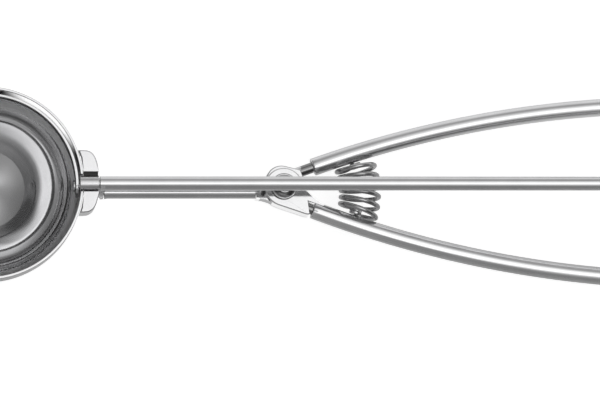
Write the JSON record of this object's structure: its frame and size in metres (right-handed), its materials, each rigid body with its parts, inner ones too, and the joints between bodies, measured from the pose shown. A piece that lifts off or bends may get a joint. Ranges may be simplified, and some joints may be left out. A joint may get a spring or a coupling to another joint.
{
  "type": "ice cream scoop",
  "caption": "Ice cream scoop: a hemispherical bowl on a fixed rod, with sprung squeeze handles whose rack and pinion sweep a curved scraper through the bowl.",
  "frame": {"origin": "on the handle pivot's axis, at the flat outer face of the rivet's lower head", "axes": "+X along the tool from the bowl to the handle ends, +Z out of the bowl's mouth, +Y across the tool towards the upper handle"},
  "size_m": [0.2493, 0.0611, 0.0391],
  "materials": {
    "polished_steel": "polished stainless steel, nearly a mirror",
    "satin_steel": "plain stainless steel, satin",
    "spring_steel": "drawn stainless spring wire, semi-bright"
  },
  "bodies": {
    "frame": {"bowl": "polished_steel", "shaft_bushing": "satin_steel", "scraper_pin": "polished_steel", "pin_washer": "satin_steel", "gear_housing": "polished_steel", "rod_ferrule": "satin_steel", "centre_rod": "polished_steel", "rod_end_cap": "polished_steel", "rod_post": "satin_steel", "pivot_rivet": "polished_steel", "pivot_spacer": "satin_steel", "spring": "spring_steel"},
    "lower_lever": {"lower_bracket": "polished_steel", "lower_handle": "polished_steel", "lower_end_cap": "polished_steel", "lower_spring_peg": "satin_steel", "rack_rod": "polished_steel", "gear_sector": "satin_steel"},
    "upper_lever": {"upper_bracket": "polished_steel", "upper_handle": "polished_steel", "upper_end_cap": "polished_steel", "upper_spring_peg": "satin_steel"},
    "scraper": {"scraper_blade": "polished_steel", "drive_shaft": "polished_steel", "pinion": "satin_steel"}
  },
  "joints": [
    {"name": "lower_handle", "type": "hinge", "parent": "frame", "child": "lower_lever", "pos_m": [0, 0, 0.0055], "axis": [0, 0, 1], "range_deg": [0, 6.67], "stiffness_Nm_per_rad": 2, "springref_deg": -2.86, "deforming": ["spring"]},
    {"name": "upper_handle", "type": "hinge", "parent": "frame", "child": "upper_lever", "pos_m": [0, 0, 0.0055], "axis": [0, 0, 1], "range_deg": [-6.67, 0], "stiffness_Nm_per_rad": 2, "springref_deg": 2.86, "deforming": ["spring"]},
    {"name": "scraper", "type": "hinge", "parent": "frame", "child": "scraper", "pos_m": [-0.0916, 0, 0.0106], "axis": [1, 0, 0], "range_deg": [-180.01, 0]}
  ],
  "couplings": [
    {"joint": "upper_handle", "follows": "lower_handle", "ratio": -1},
    {"joint": "scraper", "follows": "lower_handle", "ratio": -27}
  ]
}
